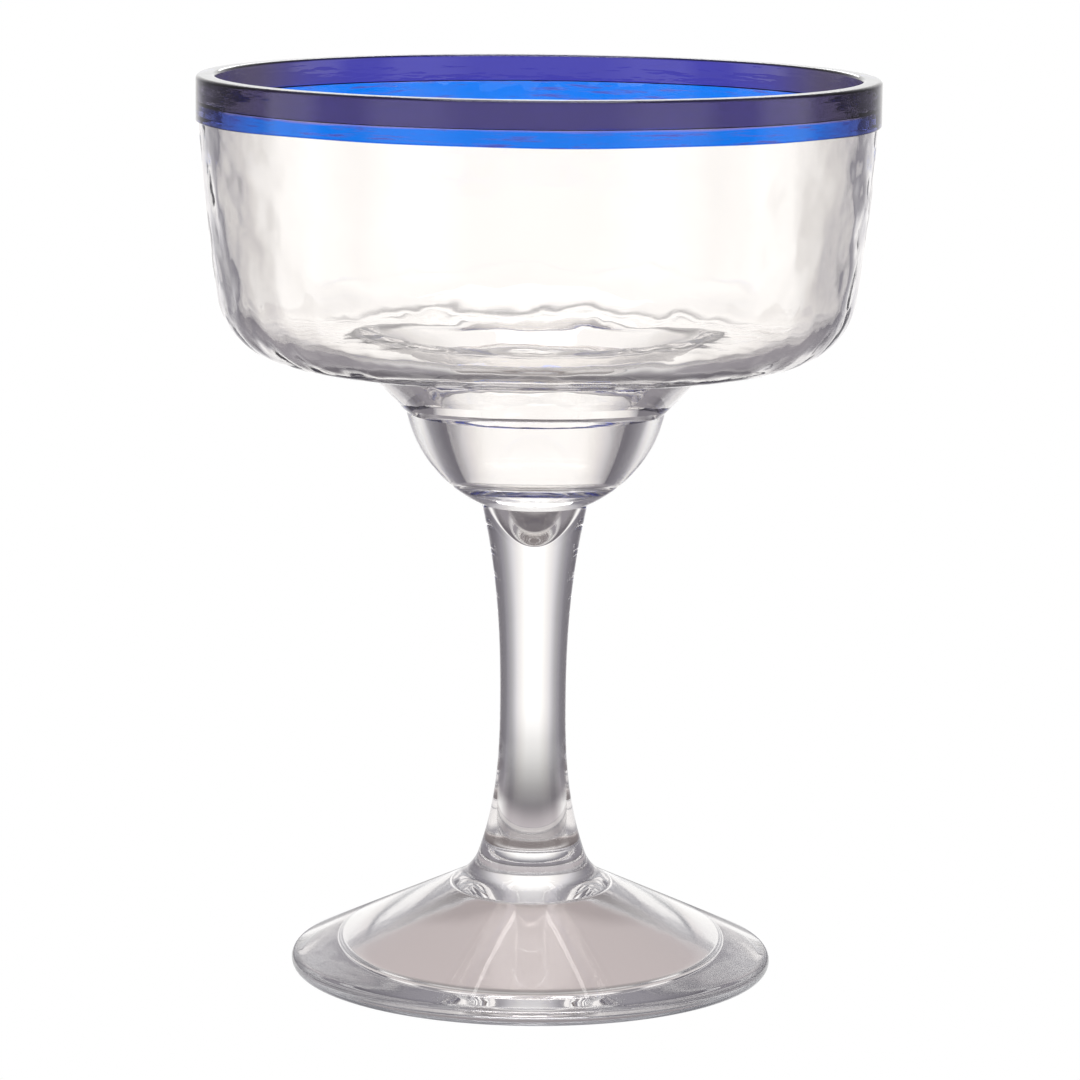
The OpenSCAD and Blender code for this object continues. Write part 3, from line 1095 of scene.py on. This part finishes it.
class GLASS_OT_studio(bpy.types.Operator):
    """Sets up the light table, the bright room behind the glass and the camera"""

    bl_idname = "glass.studio"
    bl_label = "Studio"

    def execute(self, context):
        studio = sizes("glass_studio")
        self.table(studio)
        self.room(context, studio)
        self.lamps(context, studio)
        self.camera(context, studio)
        self.light_paths(context)
        context.scene.view_settings.view_transform = "Standard"
        return {"FINISHED"}

    def light_paths(self, context):
        """Light turns back many times inside thick acrylic, so it is followed for longer than
        the four mirror turns that are usual: a path cut short would leave a black patch."""
        paths = context.scene.cycles
        paths.max_bounces = LONGEST_PATH
        paths.glossy_bounces = LONGEST_PATH
        paths.transmission_bounces = LONGEST_PATH
        paths.transparent_max_bounces = LONGEST_PATH

    def table(self, studio):
        """A round light table of opal acrylic, just under the glass. The camera sees it as plain
        white. The light that it sends into the glass has painted light and shade in it: a warm
        painted shadow of the foot in the foot's hollow, white under the ring, and a painted
        shadow of the glass straight behind both, and steep rays near the foot see it dimmed.
        Further out it is a painted reflection of the room, bright ahead and grey at the sides,
        and a steep ray meets an even grey painted shade there. A ray from right above meets near
        white. TABLE_SHARES gives the shares, which are smooth steps, and TABLE_LIGHTS the order
        in which they mix the lights."""
        outline = Outline()
        outline.add([[0, -TABLE_GAP - TABLE_T], [studio.table_r, -TABLE_GAP - TABLE_T]])
        outline.add([[studio.table_r, -TABLE_GAP], [0, -TABLE_GAP]])
        table = turned(
            "light_table", outline, np.linspace(0, 2 * math.pi, TABLE_SIDES, endpoint=False)
        )
        material, tree, output = empty_material("opal_acrylic_table")
        place = add(tree, "ShaderNodeTexCoord").outputs["Object"]
        distance = add(tree, "ShaderNodeVectorMath", links={0: place}, operation="LENGTH")
        unit = add(tree, "ShaderNodeVectorMath", links={0: place}, operation="NORMALIZE")
        bearing = add(tree, "ShaderNodeSeparateXYZ", links={"Vector": unit.outputs["Vector"]})
        facing = add(tree, "ShaderNodeLayerWeight", {"Blend": 0.5})
        measures = {
            "ahead": bearing.outputs["Y"],
            "away": distance.outputs["Value"],
            "slant": facing.outputs["Facing"],
        }
        made = {}
        for name, measure, low, high in TABLE_SHARES:
            made[name] = add(
                tree,
                "ShaderNodeMapRange",
                {"From Min": low, "From Max": high},
                {"Value": measures[measure]},
                interpolation_type="SMOOTHSTEP",
            ).outputs["Result"]
        for name, *factors in (
            ("shaded", "rear", "off_axis"),
            ("open_table", "from_above", "off_hub"),
        ):
            made[name] = add(
                tree,
                "ShaderNodeMath",
                links={i: made[factor] for i, factor in enumerate(factors)},
                operation="MULTIPLY",
            ).outputs["Value"]
        reach = add(
            tree,
            "ShaderNodeMath",
            {1: FRONT_REACH},
            {0: made["not_front"], 2: measures["away"]},
            operation="MULTIPLY_ADD",
        )
        outside = add(
            tree,
            "ShaderNodeMapRange",
            {"From Min": AROUND_FOOT[0], "From Max": AROUND_FOOT[1]},
            {"Value": reach.outputs["Value"]},
            interpolation_type="SMOOTHSTEP",
        )
        # Painted shade: steep rays near the foot see the table dimmed, as in a contact shadow.
        steep_shade = add(
            tree,
            "ShaderNodeMix",
            links={
                "Factor": made["past_hollow"],
                "A": made["steep_inside"],
                "B": made["steep_ring"],
            },
        )
        level = add(
            tree,
            "ShaderNodeMapRange",
            {"To Min": 1.0, "To Max": studio.table_steep},
            {"Value": steep_shade.outputs["Result"]},
        )
        # Painted shadow of the glass, straight behind it on the table.
        shadow = add(
            tree,
            "ShaderNodeMapRange",
            {"To Min": studio.screen_level, "To Max": studio.behind_level},
            {"Value": made["behind"]},
        )
        strength = add(
            tree,
            "ShaderNodeMix",
            {"B": studio.screen_level},
            {"Factor": made["far_out"], "A": shadow.outputs["Result"]},
        )
        # Further out, the table shows a painted reflection of the room's screens, with the
        # painted shadow behind.
        made["lit"] = add(
            tree,
            "ShaderNodeVectorMath",
            links={0: screen_light(tree, place), "Scale": strength.outputs["Result"]},
            operation="SCALE",
        ).outputs["Vector"]
        for name, factor, *lights in TABLE_LIGHTS:
            sockets = dict(zip((6, 7), lights))
            made[name] = add(
                tree,
                "ShaderNodeMix",
                {s: (*getattr(studio, c), 1) for s, c in sockets.items() if c not in made},
                {"Factor": made[factor], **{s: made[c] for s, c in sockets.items() if c in made}},
                data_type="RGBA",
            ).outputs[2]
        dimmed = add(
            tree,
            "ShaderNodeVectorMath",
            links={0: made["inside"], "Scale": level.outputs["Result"]},
            operation="SCALE",
        )
        low_rays = add(
            tree,
            "ShaderNodeMix",
            links={
                "Factor": outside.outputs["Result"],
                6: dimmed.outputs["Vector"],
                7: made["around"],
            },
            data_type="RGBA",
        )
        whole = add(
            tree,
            "ShaderNodeMix",
            {7: (*studio.table_above, 1)},
            {"Factor": made["open_table"], 6: low_rays.outputs[2]},
            data_type="RGBA",
        )
        glow = add(tree, "ShaderNodeEmission", {"Strength": 1.0}, {"Color": whole.outputs[2]})
        plain = add(tree, "ShaderNodeEmission", {"Color": (1, 1, 1, 1), "Strength": 1.0})
        both = seen_plain(tree, glow.outputs["Emission"], plain.outputs["Emission"])
        tree.links.new(both, output.inputs["Surface"])
        table.data.materials.append(material)

    def room(self, context, studio):
        """The room round the glass: screens as screen_light gives them, which fade with height
        into a grey ceiling. What the camera sees directly is plain white."""
        world = bpy.data.worlds.new("studio_room")
        context.scene.world = world
        world.use_nodes = True
        tree = world.node_tree
        tree.nodes.clear()
        place = add(tree, "ShaderNodeTexCoord").outputs["Generated"]
        apart = add(tree, "ShaderNodeSeparateXYZ", links={"Vector": place})
        over = add(
            tree,
            "ShaderNodeMapRange",
            {
                "From Min": math.sin(studio.screen_full),
                "From Max": math.sin(studio.screen_end),
            },
            {"Value": apart.outputs["Z"]},
            interpolation_type="SMOOTHSTEP",
        )
        light = add(
            tree,
            "ShaderNodeMix",
            {7: (*studio.ceiling, 1)},
            {"Factor": over.outputs["Result"], 6: screen_light(tree, place)},
            data_type="RGBA",
        )
        lit = add(
            tree,
            "ShaderNodeBackground",
            {"Strength": studio.screen_level},
            {"Color": light.outputs[2]},
        )
        plain = add(tree, "ShaderNodeBackground", {"Color": (1, 1, 1, 1), "Strength": 1.0})
        both = seen_plain(tree, lit.outputs["Background"], plain.outputs["Background"])
        output = add(tree, "ShaderNodeOutputWorld")
        tree.links.new(both, output.inputs["Surface"])

    def lamps(self, context, studio):
        """A square softbox hangs over the glass and puts a highlight along the lip, and a strip
        light far behind it puts one on the lip's back edge. Both are flagged: each reaches only
        the pieces that it is for, and leaves no streaks on the rest."""
        for name, wide, tall, power, place, turn, reached in (
            (
                "softbox",
                studio.softbox,
                studio.softbox,
                studio.softbox_power,
                (0, 0, studio.softbox_z),
                (0, 0, 0),
                ("blue_rim_band", "clear_bowl"),
            ),
            (
                "strip_light",
                studio.strip_w,
                studio.strip_h,
                studio.strip_power,
                (0, studio.strip_y, studio.strip_z),
                (-math.pi / 2, 0, 0),
                ("blue_rim_band",),
            ),
        ):
            data = bpy.data.lights.new(name, "AREA")
            data.shape = "RECTANGLE"
            data.size, data.size_y = wide, tall
            data.energy = power
            lamp = bpy.data.objects.new(name, data)
            lamp.location = place
            lamp.rotation_euler = turn
            context.scene.collection.objects.link(lamp)
            lamp.light_linking.receiver_collection = lit_only(f"{name}_reaches", reached)

    def camera(self, context, studio):
        """The camera looks along +Y from in front of the glass and a little above it."""
        data = bpy.data.cameras.new("camera")
        data.lens = studio.lens
        data.sensor_width = SENSOR_MM
        data.shift_x = studio.shift
        data.clip_start, data.clip_end = NEAREST_SEEN, FURTHEST_SEEN
        camera = bpy.data.objects.new("camera", data)
        context.scene.collection.objects.link(camera)
        ahead = Vector((0, math.cos(studio.pitch), -math.sin(studio.pitch)))
        turn = ahead.to_track_quat("-Z", "Y").to_matrix().to_4x4()
        camera.matrix_world = (
            Matrix.Translation((0, -studio.reach, studio.height))
            @ turn
            @ Matrix.Rotation(studio.roll, 4, "Z")
        )
        context.scene.camera = camera


class GLASS_PT_panel(bpy.types.Panel):
    """Lists the glass's pieces and sizes"""

    bl_idname = "GLASS_PT_panel"
    bl_label = "Margarita glass"
    bl_space_type = "VIEW_3D"
    bl_region_type = "UI"
    bl_category = "Glass"

    def draw(self, context):
        for operator, group in PIECES:
            box = self.layout.box()
            box.operator(operator.bl_idname)
            values = sizes(group)
            for name in values.__annotations__:
                box.prop(values, name)
        looks = sizes("glass_looks")
        for name in looks.__annotations__:
            self.layout.prop(looks, name)


PIECES = (
    (GLASS_OT_foot, "glass_foot"),
    (GLASS_OT_stem, "glass_stem"),
    (GLASS_OT_well, "glass_well"),
    (GLASS_OT_bowl, "glass_bowl"),
    (GLASS_OT_band, "glass_band"),
    (GLASS_OT_studio, "glass_studio"),
)
GROUPS = {
    "glass_band": BandSizes,
    "glass_bowl": BowlSizes,
    "glass_well": WellSizes,
    "glass_stem": StemSizes,
    "glass_foot": FootSizes,
    "glass_looks": GlassLooks,
    "glass_studio": StudioValues,
}
CLASSES = (*GROUPS.values(), *(operator for operator, _ in PIECES), GLASS_PT_panel)


def register():
    """Makes the operators, the panel and the sizes known to Blender."""
    for item in CLASSES:
        bpy.utils.register_class(item)
    for name, group in GROUPS.items():
        setattr(bpy.types.Scene, name, PointerProperty(type=group))


def unregister():
    """Takes away what register made known, in the reverse order."""
    for name in GROUPS:
        delattr(bpy.types.Scene, name)
    for item in reversed(CLASSES):
        bpy.utils.unregister_class(item)


def main():
    """Builds the glass and the studio."""
    register()
    bpy.ops.glass.foot()
    bpy.ops.glass.stem()
    bpy.ops.glass.well()
    bpy.ops.glass.bowl()
    bpy.ops.glass.band()
    bpy.ops.glass.studio()


if __name__ == "__main__":
    main()
